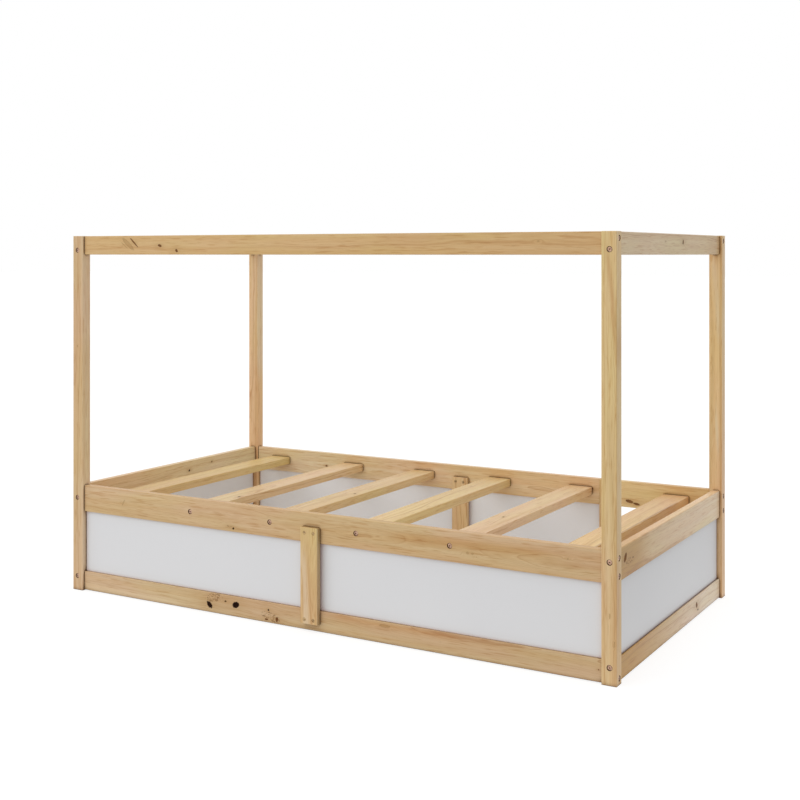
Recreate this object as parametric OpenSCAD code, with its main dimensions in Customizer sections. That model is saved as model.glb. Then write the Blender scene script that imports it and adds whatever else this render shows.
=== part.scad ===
// Low bed for a child, with a pine frame, four tall corner posts joined by a
// ring of top rails, and white panels between the bed rails and bottom rails.
// One long side has an entry opening in its panels.
// Length runs along X, width along Y and height along Z, with the origin on
// the floor at the middle of the bed. The front is the long side at -Y.

/* [Overall] */
// Length over the corner posts
bed_length = 2020; // [1750:1:2250]
// Width over the corner posts
bed_width = 1066; // [900:1:1250]
// Height of the corner posts
bed_height = 1248; // [1000:1:1600]
// Height of the bed rails' top edge above the floor
bed_level = 370; // [300:1:600]

/* [Posts] */
// Post width, along the length of the bed
post_w = 45; // [40:1:60]
// Post depth, along the width of the bed
post_d = 38; // [36:1:55]
// Radius of the posts' eased edges
post_ease = 2; // [1:0.5:4]
// Clear width of the entry opening in the back
entry_w = 357; // [320:1:420]

/* [Rails] */
// Thickness of every rail
rail_t = 24; // [22:0.5:28]
// Setback of the rails' outer faces behind the post faces
rail_setback = 9; // [6:0.5:10]
// Height of the top rails and of the bottom rails
frame_rail_h = 65; // [62:1:90]
// Height of the bed rails
bed_rail_h = 92; // [84:1:110]
// Drop of the top rails below the ends of the posts
top_drop = 0.5; // [0:0.5:3]
// Clearance under the bottom rails
floor_gap = 2.5; // [1:0.5:6]
// Radius of the rails' long edges
rail_ease = 2; // [1:0.5:4]
// Radius of the edges round the ends of the boards
end_ease = 2; // [0.5:0.25:3]

/* [Panels] */
// Thickness of the white panels
panel_t = 4; // [3:0.5:6]
// Depth of the grooves that hold the panels
groove_d = 8; // [6:0.5:10]
// Distance of the long rails' grooves behind their outer faces
groove_setback = 9; // [8:0.5:10]
// Extra width of the short rails' grooves, in front of the end panels
end_slack = 4; // [0:0.5:4]
// Clearance each side of a panel in its groove
groove_clear = 0.3; // [0.2:0.1:0.6]
// Gap at the panels' ends, and half the gap where two panels meet
panel_end_gap = 2.5; // [0.5:0.5:4]

/* [Slats] */
// Slat width
slat_w = 91; // [80:1:120]
// Slat thickness
slat_t = 28; // [22:1:32]
// Depth of the slats' top faces below the bed rails' top edge
slat_drop = 31; // [28:1:35]
// Distance from the entry post to the middle of the nearest slat
slat_entry_gap = 74; // [66:1:90]
// Distance of the outer slats from the corner posts
slat_end = 118; // [110:1:130]
// Depth of the pockets that hold the slat ends
pocket_d = 8; // [6:0.5:10]
// Clearance round a slat end in its pocket
pocket_clear = 0.8; // [0.3:0.1:0.9]

/* [Battens] */
// Width of the battens that cover the panel joints
batten_w = 65; // [50:1:80]
// Thickness of the battens
batten_t = 16; // [14:0.5:20]
// Lap of the battens on the bed rails
batten_lap_high = 50; // [35:1:60]
// Lap of the battens on the bottom rails
batten_lap_low = 42; // [40:1:55]
// Radius of the battens' eased edges
batten_ease = 1.5; // [0.5:0.5:3]

/* [Bolts and barrel nuts] */
// Diameter of the bolts
bolt_dia = 6; // [5:0.5:7]
// Extra diameter of the bolt holes
bolt_clear = 0.5; // [0.2:0.1:1]
// Diameter of the bolt heads
head_dia = 14; // [12:0.5:15]
// Thickness of the bolt heads
head_t = 2.6; // [2:0.1:3]
// Depth of the head below the surface of the wood
head_sink = 1; // [0.2:0.1:1.5]
// Gap round the bolt heads in their counterbores
head_gap = 1.5; // [0.5:0.1:2]
// Size of the hexagon socket across its flats
socket_flats = 4; // [3:0.5:5]
// Diameter of the barrel nuts
nut_dia = 10; // [9:0.5:11]
// Length of the barrel nuts
nut_len = 16; // [12:0.5:18]
// Gap round the barrel nuts and dowels in their holes
fit_gap = 0.1; // [0.05:0.05:0.2]
// Distance from a long rail's end to its barrel nuts
long_inset = 33; // [28:1:40]
// Distance from a short rail's end to its barrel nuts
short_inset = 30; // [28:1:40]
// Distance from a slat's end to its barrel nut
slat_inset = 32; // [28:1:40]

/* [Joint heights] */
// Distance of the long rails' bolts from the posts' ends
long_bolt_end = 19; // [16:1:22]
// Distance of the short rails' bolts from the posts' ends
short_bolt_end = 50; // [48:1:52]
// Distance of the long rails' dowels from the posts' ends
long_dowel_end = 48; // [46:1:50]
// Distance of the short rails' dowels from the posts' ends
short_dowel_end = 34; // [33:1:35]
// Spacing of the two bolts in each end of the long bed rails
bed_bolt_spread = 50; // [46:1:54]
// Rise of the left bed rail's bolts above the rail's middle
bed_bolt_rise_left = 2; // [1:1:4]
// Rise of the right bed rail's bolts above the rail's middle
bed_bolt_rise_right = 15; // [13:1:16]
// Drop of the short bed rails' dowels below the rail's middle
bed_dowel_drop = 10; // [9:1:12]
// Spacing of the two dowels that carry the entry rail
entry_dowel_spread = 16; // [14:1:18]

/* [Dowels and screws] */
// Diameter of the wooden dowels
dowel_dia = 8; // [6:1:8]
// Length of the wooden dowels
dowel_len = 30; // [24:1:32]
// Diameter of the batten screws
screw_dia = 4; // [3:0.5:4.5]
// Depth that the batten screws reach into the rails
screw_bite = 10; // [8:0.5:10.5]
// Diameter of the batten screws' heads
screw_head_dia = 9; // [7:0.5:9.5]
// Depth of the screw heads below the surface of the battens
screw_sink = 1; // [0.3:0.1:1.5]
// Gap round the screw heads in their counterbores
screw_gap = 1.5; // [0.5:0.1:2]
// Distance of the screws from the battens' long edges
screw_edge = 16; // [12:1:18]
// Distance of the upper screws from the battens' top ends
screw_end_high = 17; // [12:1:20]
// Distance of the lower screws from the battens' bottom ends
screw_end_low = 14; // [12:1:25]

/* [Hidden] */

pine = "burlywood";
pale_pine = "navajowhite";
white = "whitesmoke";
steel = "lightslategray";
beech = "peru";
// Sides of round stretches
$fn = 32;
// Overshoot of the cutting shapes
eps = 0.5;

// Outer corners of the posts and the faces that the rails butt against
half_l = bed_length / 2;
half_w = bed_width / 2;
post_in_x = half_l - post_w;
post_in_y = half_w - post_d;
entry_post_x = post_in_x - entry_w - post_w;
// Middle of every rail behind the post faces, where its bolts and dowels lie
rail_mid = rail_setback + rail_t / 2;
rail_out_x = half_l - rail_setback;
rail_out_y = half_w - rail_setback;
rail_in_y = rail_out_y - rail_t;
// Lengths of the rails between the posts
long_l = 2 * post_in_x;
short_l = 2 * post_in_y;
back_l = post_in_x + entry_post_x;
// Heights of the rails' lower edges
top_z = bed_height - top_drop - frame_rail_h;
bed_z = bed_level - bed_rail_h;
bottom_z = floor_gap;
bed_mid = bed_level - bed_rail_h / 2;

// Heights of the bolts and dowels in the posts: bottom, bed and top rails
long_bolts_bottom = [long_bolt_end];
long_bolts_bed = [bed_mid - bed_bolt_spread / 2, bed_mid + bed_bolt_spread / 2];
long_bolts_top = [bed_height - long_bolt_end];
long_dowels_bottom = [long_dowel_end];
long_dowels_bed = [bed_mid];
long_dowels_top = [bed_height - long_dowel_end];
short_bolts_bottom = [short_bolt_end];
short_bolts_left = [bed_mid + bed_bolt_rise_left];
short_bolts_right = [bed_mid + bed_bolt_rise_right];
short_bolts_top = [bed_height - short_bolt_end];
short_dowels_bottom = [short_dowel_end];
short_dowels_bed = [bed_mid - bed_dowel_drop];
short_dowels_top = [bed_height - short_dowel_end];
entry_dowels = [bed_mid - entry_dowel_spread / 2, bed_mid + entry_dowel_spread / 2];
long_bolts_all = concat(long_bolts_bottom, long_bolts_bed, long_bolts_top);
long_bolts_entry = concat(long_bolts_bottom, long_bolts_bed);
long_dowels_all = concat(long_dowels_bottom, long_dowels_bed, long_dowels_top);
long_dowels_entry = concat(long_dowels_bottom, long_dowels_bed);
short_dowels_all = concat(short_dowels_bottom, short_dowels_bed, short_dowels_top);

// Heads sit in flat counterbores
bore_d = bolt_dia + bolt_clear;
head_bore_d = head_dia + 2 * head_gap;
head_bore_depth = head_t + head_sink;
long_bolt_l = post_w - head_bore_depth + long_inset + nut_dia / 2;
short_bolt_l = post_d - head_bore_depth + short_inset + nut_dia / 2;
slat_bolt_l = rail_t - pocket_d - head_bore_depth + slat_inset + nut_dia / 2;
// Blind end of a bolt hole beyond its nut
bore_spare = 6;
dowel_hole = dowel_len / 2 + 0.5;

// Panels reach to the bottom of their grooves less the clearance
groove_w = panel_t + 2 * groove_clear;
panel_out = rail_setback + groove_setback + groove_clear;
panel_z0 = bottom_z + frame_rail_h - groove_d + groove_clear;
panel_z1 = bed_z + groove_d - groove_clear;

batten_z0 = bottom_z + frame_rail_h - batten_lap_low;
batten_z1 = bed_z + batten_lap_high;
screw_heights = [batten_z0 + screw_end_low, batten_z1 - screw_end_high];
screw_x = batten_w / 2 - screw_edge;
screw_cone = (screw_head_dia - screw_dia) / 2;
screw_bore_d = screw_head_dia + 2 * screw_gap;
screw_len = batten_t - screw_sink + screw_bite;

slat_z0 = bed_level - slat_drop - slat_t;
slat_mid_z = slat_z0 + slat_t / 2;
slat_l = 2 * (rail_in_y + pocket_d);
// The four inner slats are spread evenly, the last one close to the entry post
slat_outer = post_in_x - slat_end;
slat_inner = entry_post_x - slat_entry_gap;
slat_centres = [-slat_outer, -slat_inner, -slat_inner / 3, slat_inner / 3, slat_inner, slat_outer];
bolted_slats = [for (i = [1:4]) slat_centres[i]];

// Flat shape of a board's section, with its lower left corner at the origin
module eased_section(w, h, r) {
    translate([r, 0]) square([w - 2 * r, h]);
    translate([0, r]) square([w, h - 2 * r]);
    for (x = [r, w - r], y = [r, h - r]) {
        translate([x, y]) circle(r);
    }
}

// Board along X with its lower corner at the origin: long edges eased by
// edge_r and the edges round both ends eased by cap_r
module board(size, edge_r, cap_r) {
    intersection() {
        rotate([90, 0, 90])
            linear_extrude(size[0]) eased_section(size[1], size[2], edge_r);
        linear_extrude(size[2]) eased_section(size[0], size[1], cap_r);
        translate([0, size[1], 0]) rotate([90, 0, 0])
            linear_extrude(size[1]) eased_section(size[0], size[2], cap_r);
    }
}

// Stand a board up: its length runs along Z, its width along X
module upright() {
    rotate([0, -90, -90]) children();
}

// Hole along X from x0 to x1
module bore_x(d, x0, x1) {
    translate([x0, 0, 0]) rotate([0, 90, 0]) cylinder(d = d, h = x1 - x0);
}

// Hole along Y from y0 to y1
module bore_y(d, y0, y1) {
    translate([0, y0, 0]) rotate([-90, 0, 0]) cylinder(d = d, h = y1 - y0);
}

// Through hole with a counterbore for a bolt along X, head face at x = 0
module bolt_hole_x(depth) {
    bore_x(bore_d, -eps, depth + eps);
    bore_x(head_bore_d, -eps, head_bore_depth);
}

// Through hole with a counterbore for a bolt along Y, head face at y = 0
module bolt_hole_y(depth) {
    bore_y(bore_d, -eps, depth + eps);
    bore_y(head_bore_d, -eps, head_bore_depth);
}

// Corner post with its outer corner at the origin, inner faces at +X and +Y
module corner_post(long_bolts, long_dowels, short_bolt_bed) {
    short_bolts = concat(short_bolts_bottom, short_bolt_bed, short_bolts_top);
    difference() {
        upright() board([bed_height, post_w, post_d], post_ease, end_ease);
        for (z = long_bolts) {
            translate([0, rail_mid, z]) bolt_hole_x(post_w);
        }
        for (z = short_bolts) {
            translate([rail_mid, 0, z]) bolt_hole_y(post_d);
        }
        for (z = long_dowels) {
            translate([0, rail_mid, z])
                bore_x(dowel_dia + 2 * fit_gap, post_w - dowel_hole, post_w + eps);
        }
        for (z = short_dowels_all) {
            translate([rail_mid, 0, z])
                bore_y(dowel_dia + 2 * fit_gap, post_d - dowel_hole, post_d + eps);
        }
    }
}

// Entry post, from the floor to the bed rails' top edge. The long rails butt
// on its left face and the entry rail on its right face.
module entry_post_solid() {
    translate([entry_post_x, half_w, 0]) mirror([0, 1, 0])
        difference() {
            upright() board([bed_level, post_w, post_d], post_ease, end_ease);
            for (z = long_bolts_entry) {
                translate([post_w, rail_mid, z]) mirror([1, 0, 0]) bolt_hole_x(post_w);
            }
            for (z = long_dowels_entry) {
                translate([0, rail_mid, z])
                    bore_x(dowel_dia + 2 * fit_gap, -eps, dowel_hole);
            }
            for (z = entry_dowels) {
                translate([0, rail_mid, z])
                    bore_x(dowel_dia + 2 * fit_gap, post_w - dowel_hole, post_w + eps);
            }
        }
}

// Joint holes in the end of a rail at x = 0, whose heights are given as a
// list for the bolts and a list for the dowels. The cross holes for the
// barrel nuts open on the inner face, or on the outer one if outside is true.
module rail_end_holes(heights, inset, outside) {
    nut_depth = (rail_t + nut_len) / 2 + fit_gap;
    for (z = heights[0]) {
        translate([0, rail_t / 2, z]) bore_x(bore_d, -eps, inset + nut_dia / 2 + bore_spare);
        translate([inset, 0, z])
            bore_y(nut_dia + 2 * fit_gap, outside ? -eps : rail_t - nut_depth,
                outside ? nut_depth : rail_t + eps);
    }
    for (z = heights[1]) {
        translate([0, rail_t / 2, z]) bore_x(dowel_dia + 2 * fit_gap, -eps, dowel_hole);
    }
}

// Rail along X from the origin, outer face at y = 0, with the joint heights
// of its two ends. groove_side is 0 for none, -1 for a panel groove in the
// lower edge and 1 for the upper edge, and slack widens it outwards.
module rail(l, h, groove_side, heights_a, heights_b, inset, outside = false, slack = 0) {
    groove_z = groove_side < 0 ? -eps : h - groove_d;
    difference() {
        board([l, rail_t, h], rail_ease, end_ease);
        if (groove_side != 0) {
            translate([-eps, groove_setback - slack, groove_z])
                cube([l + 2 * eps, groove_w + slack, groove_d + eps]);
        }
        rail_end_holes(heights_a, inset, outside);
        translate([l, 0, 0]) mirror([1, 0, 0]) rail_end_holes(heights_b, inset, outside);
    }
}

// Joint heights counted from a rail's lower edge at z0
function above(zs, z0) = [for (z = zs) z - z0];
function joint(bolts, dowels, z0) = [above(bolts, z0), above(dowels, z0)];

// Long rail with the same joint at both ends
module long_rail(h, z0, groove_side, bolts, dowels, outside = false) {
    heights = joint(bolts, dowels, z0);
    rail(long_l, h, groove_side, heights, heights, long_inset, outside);
}

// Short rail with the same joint at both ends and a wide groove
module short_rail(h, z0, groove_side, bolts, dowels, outside = false) {
    heights = joint(bolts, dowels, z0);
    rail(short_l, h, groove_side, heights, heights, short_inset, outside, end_slack);
}

// Places of a rail: its outer face in line with the front, back, left or right
module on_front(x0, z0) {
    translate([x0, -rail_out_y, z0]) children();
}

module on_back(x0, z0) {
    translate([x0, rail_out_y, z0]) mirror([0, 1, 0]) children();
}

module on_right(z0) {
    translate([rail_out_x, -post_in_y, z0]) rotate([0, 0, 90]) children();
}

module on_left(z0) {
    mirror([1, 0, 0]) on_right(z0) children();
}

// Pockets for the slat ends and holes for their bolts, cut into a bed rail
// whose outer face is at y = 0 and whose left end is at the bed's x0
module slat_cuts(x0, centres) {
    for (x = centres) {
        translate([x - x0 - slat_w / 2 - pocket_clear, rail_t - pocket_d, slat_z0 - bed_z])
            cube([slat_w + 2 * pocket_clear, pocket_d + eps, slat_t + pocket_clear]);
    }
    for (x = centres) {
        if (abs(x) <= slat_inner) {
            translate([x - x0, 0, slat_mid_z - bed_z]) bolt_hole_y(rail_t - pocket_d);
        }
    }
}

// Screw holes of a batten, cut into a rail whose outer face is at y = 0
module batten_pilots(x0, z0) {
    for (x = [-screw_x, screw_x], z = screw_heights, y = [0, rail_t]) {
        translate([x - x0, y, z - z0]) pilot(y == 0 ? 1 : -1);
    }
}

// Blind hole for a screw's point, towards +Y or -Y
module pilot(dir) {
    depth = screw_bite + fit_gap;
    bore_y(screw_dia + 2 * fit_gap, dir > 0 ? -eps : -depth, dir > 0 ? depth : eps);
}

module post_front_left() {
    color(pine) translate([-half_l, -half_w, 0])
        corner_post(long_bolts_all, long_dowels_all, short_bolts_left);
}

module post_front_right() {
    color(pine) translate([half_l, -half_w, 0]) mirror([1, 0, 0])
        corner_post(long_bolts_all, long_dowels_all, short_bolts_right);
}

module post_back_left() {
    color(pine) translate([-half_l, half_w, 0]) mirror([0, 1, 0])
        corner_post(long_bolts_all, long_dowels_all, short_bolts_left);
}

// The entry opening leaves this post without a bottom rail at the back
module post_back_right() {
    color(pine) translate([half_l, half_w, 0]) mirror([0, 1, 0]) mirror([1, 0, 0])
        corner_post(concat(long_bolts_bed, long_bolts_top),
            concat(long_dowels_bed, long_dowels_top), short_bolts_right);
}

module post_entry() {
    color(pine) entry_post_solid();
}

module top_rail_front() {
    color(pale_pine) on_front(-post_in_x, top_z)
        long_rail(frame_rail_h, top_z, 0, long_bolts_top, long_dowels_top);
}

module top_rail_back() {
    color(pale_pine) on_back(-post_in_x, top_z)
        long_rail(frame_rail_h, top_z, 0, long_bolts_top, long_dowels_top, outside = true);
}

module top_rail_left() {
    color(pale_pine) on_left(top_z)
        short_rail(frame_rail_h, top_z, 0, short_bolts_top, short_dowels_top, outside = true);
}

module top_rail_right() {
    color(pale_pine) on_right(top_z)
        short_rail(frame_rail_h, top_z, 0, short_bolts_top, short_dowels_top);
}

module bed_rail_front() {
    color(pale_pine) on_front(-post_in_x, bed_z)
        difference() {
            long_rail(bed_rail_h, bed_z, -1, long_bolts_bed, long_dowels_bed);
            slat_cuts(-post_in_x, slat_centres);
            batten_pilots(-post_in_x, bed_z);
        }
}

module bed_rail_back() {
    heights = joint(long_bolts_bed, long_dowels_bed, bed_z);
    color(pale_pine) on_back(-post_in_x, bed_z)
        difference() {
            rail(back_l, bed_rail_h, -1, heights, heights, long_inset, outside = true);
            slat_cuts(-post_in_x, [for (i = [0:4]) slat_centres[i]]);
            batten_pilots(-post_in_x, bed_z);
        }
}

module bed_rail_entry() {
    x0 = entry_post_x + post_w;
    color(pale_pine) on_back(x0, bed_z)
        difference() {
            rail(entry_w, bed_rail_h, 0, joint([], entry_dowels, bed_z),
                joint(long_bolts_bed, long_dowels_bed, bed_z), long_inset, outside = true);
            slat_cuts(x0, [slat_outer]);
        }
}

module bed_rail_left() {
    color(pale_pine) on_left(bed_z)
        short_rail(bed_rail_h, bed_z, -1, short_bolts_left, short_dowels_bed, outside = true);
}

module bed_rail_right() {
    color(pale_pine) on_right(bed_z)
        short_rail(bed_rail_h, bed_z, -1, short_bolts_right, short_dowels_bed);
}

module bottom_rail_front() {
    color(pale_pine) on_front(-post_in_x, bottom_z)
        difference() {
            long_rail(frame_rail_h, bottom_z, 1, long_bolts_bottom, long_dowels_bottom);
            batten_pilots(-post_in_x, bottom_z);
        }
}

module bottom_rail_back() {
    heights = joint(long_bolts_bottom, long_dowels_bottom, bottom_z);
    color(pale_pine) on_back(-post_in_x, bottom_z)
        difference() {
            rail(back_l, frame_rail_h, 1, heights, heights, long_inset, outside = true);
            batten_pilots(-post_in_x, bottom_z);
        }
}

module bottom_rail_left() {
    color(pale_pine) on_left(bottom_z)
        short_rail(frame_rail_h, bottom_z, 1, short_bolts_bottom, short_dowels_bottom,
            outside = true);
}

module bottom_rail_right() {
    color(pale_pine) on_right(bottom_z)
        short_rail(frame_rail_h, bottom_z, 1, short_bolts_bottom, short_dowels_bottom);
}

// Panel standing in the grooves, from x0 to x1 along its side of the bed
module panel(x0, x1) {
    translate([x0, 0, panel_z0]) cube([x1 - x0, panel_t, panel_z1 - panel_z0]);
}

// Panel on the front, its outer face a groove's setback behind the rail face
module front_panel(x0, x1) {
    color(white) translate([0, -half_w + panel_out, 0]) panel(x0, x1);
}

module back_panel(x0, x1) {
    color(white) translate([0, half_w - panel_out - panel_t, 0]) panel(x0, x1);
}

module panel_front_left() {
    front_panel(-post_in_x + panel_end_gap, -panel_end_gap);
}

module panel_front_right() {
    front_panel(panel_end_gap, post_in_x - panel_end_gap);
}

module panel_back_left() {
    back_panel(-post_in_x + panel_end_gap, -panel_end_gap);
}

module panel_back_right() {
    back_panel(panel_end_gap, entry_post_x - panel_end_gap);
}

// End panel, on the left for side -1 and on the right for side 1
module end_panel(side) {
    x0 = side > 0 ? half_l - panel_out - panel_t : -half_l + panel_out;
    color(white) translate([x0 + panel_t, 0, 0]) rotate([0, 0, 90])
        panel(-post_in_y + panel_end_gap, post_in_y - panel_end_gap);
}

module panel_end_left() {
    end_panel(-1);
}

module panel_end_right() {
    end_panel(1);
}

// Batten with its rail side at y = 0 and its show face towards -Y
module batten() {
    difference() {
        translate([-batten_w / 2, -batten_t, batten_z0]) upright()
            board([batten_z1 - batten_z0, batten_w, batten_t], batten_ease, batten_ease);
        for (x = [-screw_x, screw_x], z = screw_heights) {
            translate([x, -batten_t, z]) {
                bore_y(screw_dia + 2 * fit_gap, -eps, batten_t + eps);
                bore_y(screw_bore_d, -eps, screw_sink);
                translate([0, screw_sink, 0]) rotate([-90, 0, 0])
                    cylinder(d1 = screw_head_dia + 2 * fit_gap, d2 = screw_dia + 2 * fit_gap,
                        h = screw_cone);
            }
        }
    }
}

// Places of the four battens, the outer two on the rails' outer faces
module at_front_outer() {
    translate([0, -rail_out_y, 0]) children();
}

module at_front_inner() {
    translate([0, -rail_in_y, 0]) mirror([0, 1, 0]) children();
}

module at_back_outer() {
    mirror([0, 1, 0]) at_front_outer() children();
}

module at_back_inner() {
    mirror([0, 1, 0]) at_front_inner() children();
}

module batten_front_outer() {
    color(pale_pine) at_front_outer() batten();
}

module batten_front_inner() {
    color(pale_pine) at_front_inner() batten();
}

module batten_back_outer() {
    color(pale_pine) at_back_outer() batten();
}

module batten_back_inner() {
    color(pale_pine) at_back_inner() batten();
}

// Slat across the bed. An inner slat has a bolt hole in each end, and a hole
// from below for the barrel nut that the bolt screws into.
module slat(i) {
    bolted = i > 0 && i < 5;
    color(pale_pine) translate([slat_centres[i], 0, 0])
        difference() {
            translate([slat_w / 2, -slat_l / 2, slat_z0]) rotate([0, 0, 90])
                board([slat_l, slat_w, slat_t], rail_ease, end_ease);
            if (bolted) {
                for (side = [0, 1]) {
                    mirror([0, side, 0]) translate([0, -slat_l / 2, slat_mid_z]) slat_end_holes();
                }
            }
        }
}

// Holes in the end of a slat at y = 0
module slat_end_holes() {
    bore_y(bore_d, -eps, slat_inset + nut_dia / 2 + bore_spare);
    translate([0, slat_inset, -slat_t / 2 - eps])
        cylinder(d = nut_dia + 2 * fit_gap, h = slat_t / 2 + eps + nut_len / 2 + fit_gap);
}

module slat_1() {
    slat(0);
}

module slat_2() {
    slat(1);
}

module slat_3() {
    slat(2);
}

module slat_4() {
    slat(3);
}

module slat_5() {
    slat(4);
}

module slat_6() {
    slat(5);
}

// Bolt along Z with its thin round head at the bottom, its face at z = 0,
// and a hexagon socket. The head slopes off towards its edge.
module bolt(l) {
    slope_w = 2;
    slope_h = 0.7;
    tip = 0.6;
    difference() {
        rotate_extrude()
            polygon([
                [0, 0], [head_dia / 2 - slope_w, 0], [head_dia / 2, slope_h],
                [head_dia / 2, head_t], [bolt_dia / 2, head_t], [bolt_dia / 2, head_t + l - tip],
                [bolt_dia / 2 - tip, head_t + l], [0, head_t + l]
            ]);
        translate([0, 0, -eps])
            cylinder(d = socket_flats / cos(30), h = head_t + eps, $fn = 6);
    }
}

// Barrel nut along Z, centred, with its cross hole along X and a slot in its
// upper end
module barrel_nut() {
    slot = 1.2;
    difference() {
        translate([0, 0, -nut_len / 2]) cylinder(d = nut_dia, h = nut_len);
        bore_x(bolt_dia + 2 * fit_gap, -nut_dia, nut_dia);
        translate([-slot / 2, -nut_dia, nut_len / 2 - slot]) cube([slot, 2 * nut_dia, slot + eps]);
    }
}

// Dowel along X, centred, with chamfered ends
module dowel() {
    rim = 1;
    r = dowel_dia / 2;
    rotate([0, 90, 0]) rotate_extrude()
        polygon([
            [0, -dowel_len / 2], [r - rim, -dowel_len / 2], [r, -dowel_len / 2 + rim],
            [r, dowel_len / 2 - rim], [r - rim, dowel_len / 2], [0, dowel_len / 2]
        ]);
}

// Countersunk screw along Y, the top of its head at y = 0 and its point at +Y,
// with a cross recess
module screw() {
    r = screw_dia / 2;
    point = 2 * screw_dia;
    recess = 1.5;
    difference() {
        rotate([-90, 0, 0]) rotate_extrude()
            polygon([
                [0, 0], [screw_head_dia / 2, 0], [r, screw_cone], [r, screw_len - point],
                [0, screw_len]
            ]);
        for (a = [0, 90]) {
            rotate([0, a, 0]) translate([-r, -eps, -0.5]) cube([2 * r, recess + eps, 1]);
        }
    }
}

// Ends of the long rails: each child stands where a bolt enters, with X
// pointing from the bolt's head into the rail and Y towards the open end of
// the nut's hole
module at_long_ends(front_zs, back_right_zs) {
    for (side = [-1, 1], z = front_zs) {
        translate([side * half_l, -half_w + rail_mid, z]) face_x(-side) children();
    }
    for (z = front_zs) {
        translate([-half_l, half_w - rail_mid, z]) children();
    }
    for (z = back_right_zs) {
        translate([half_l, half_w - rail_mid, z]) face_x(-1) children();
    }
}

// Turn children to face -X for a sign of -1, and leave them for 1
module face_x(sign) {
    mirror([sign < 0 ? 1 : 0, 0, 0]) children();
}

// The same at the entry post, whose bolts enter from its right face
module at_entry_end(zs) {
    for (z = zs) {
        translate([entry_post_x + post_w, half_w - rail_mid, z]) face_x(-1) children();
    }
}

module at_all_long_bolts() {
    at_long_ends(long_bolts_all, concat(long_bolts_bed, long_bolts_top)) children();
    at_entry_end(long_bolts_entry) children();
}

// Ends of the short rails: Y points from the bolt's head into the rail and X
// towards the open end of the nut's hole
module at_short_ends(side, zs) {
    for (end = [0, 1], z = zs) {
        mirror([0, end, 0]) translate([side * (half_l - rail_mid), -half_w, z]) face_x(-1)
            children();
    }
}

module at_all_short_bolts() {
    at_short_ends(-1, concat(short_bolts_bottom, short_bolts_left, short_bolts_top)) children();
    at_short_ends(1, concat(short_bolts_bottom, short_bolts_right, short_bolts_top)) children();
}

// Ends of the bolted slats: Y points from the bolt's head into the slat
module at_slat_bolts() {
    for (end = [0, 1], x = bolted_slats) {
        mirror([0, end, 0]) translate([x, -rail_out_y, slat_mid_z]) children();
    }
}

module long_rail_bolts() {
    color(steel) at_all_long_bolts()
        translate([head_sink, 0, 0]) rotate([0, 90, 0]) bolt(long_bolt_l);
}

module short_rail_bolts() {
    color(steel) at_all_short_bolts()
        translate([0, head_sink, 0]) rotate([-90, 0, 0]) bolt(short_bolt_l);
}

module slat_bolts() {
    color(steel) at_slat_bolts()
        translate([0, head_sink, 0]) rotate([-90, 0, 0]) bolt(slat_bolt_l);
}

module long_rail_nuts() {
    color(steel) at_all_long_bolts()
        translate([post_w + long_inset, 0, 0]) rotate([-90, 0, 0]) barrel_nut();
}

module short_rail_nuts() {
    color(steel) at_all_short_bolts()
        translate([0, post_d + short_inset, 0]) rotate([0, 90, 0]) rotate([0, 0, 90]) barrel_nut();
}

module slat_nuts() {
    color(steel) at_slat_bolts()
        translate([0, rail_t - pocket_d + slat_inset, 0]) rotate([180, 0, 0]) rotate([0, 0, 90])
            barrel_nut();
}

module wood_dowels() {
    color(beech) {
        at_long_ends(long_dowels_all, concat(long_dowels_bed, long_dowels_top))
            translate([post_w, 0, 0]) dowel();
        at_entry_end(long_dowels_entry) translate([post_w, 0, 0]) dowel();
        at_entry_end(entry_dowels) dowel();
        for (side = [-1, 1]) {
            at_short_ends(side, short_dowels_all)
                translate([0, post_d, 0]) rotate([0, 0, 90]) dowel();
        }
    }
}

module batten_screws() {
    color(steel) {
        at_front_outer() screws();
        at_front_inner() screws();
        at_back_outer() screws();
        at_back_inner() screws();
    }
}

// The four screws of a batten
module screws() {
    for (x = [-screw_x, screw_x], z = screw_heights) {
        translate([x, screw_sink - batten_t, z]) screw();
    }
}

post_front_left();
post_front_right();
post_back_left();
post_back_right();
post_entry();
top_rail_front();
top_rail_back();
top_rail_left();
top_rail_right();
bed_rail_front();
bed_rail_back();
bed_rail_entry();
bed_rail_left();
bed_rail_right();
bottom_rail_front();
bottom_rail_back();
bottom_rail_left();
bottom_rail_right();
panel_front_left();
panel_front_right();
panel_back_left();
panel_back_right();
panel_end_left();
panel_end_right();
batten_front_outer();
batten_front_inner();
batten_back_outer();
batten_back_inner();
slat_1();
slat_2();
slat_3();
slat_4();
slat_5();
slat_6();
long_rail_bolts();
short_rail_bolts();
slat_bolts();
long_rail_nuts();
short_rail_nuts();
slat_nuts();
wood_dowels();
batten_screws();
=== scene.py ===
"""Looks of a child's canopy bed: pine boards, white panels and zinc-plated fasteners."""

import math
import random

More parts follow.
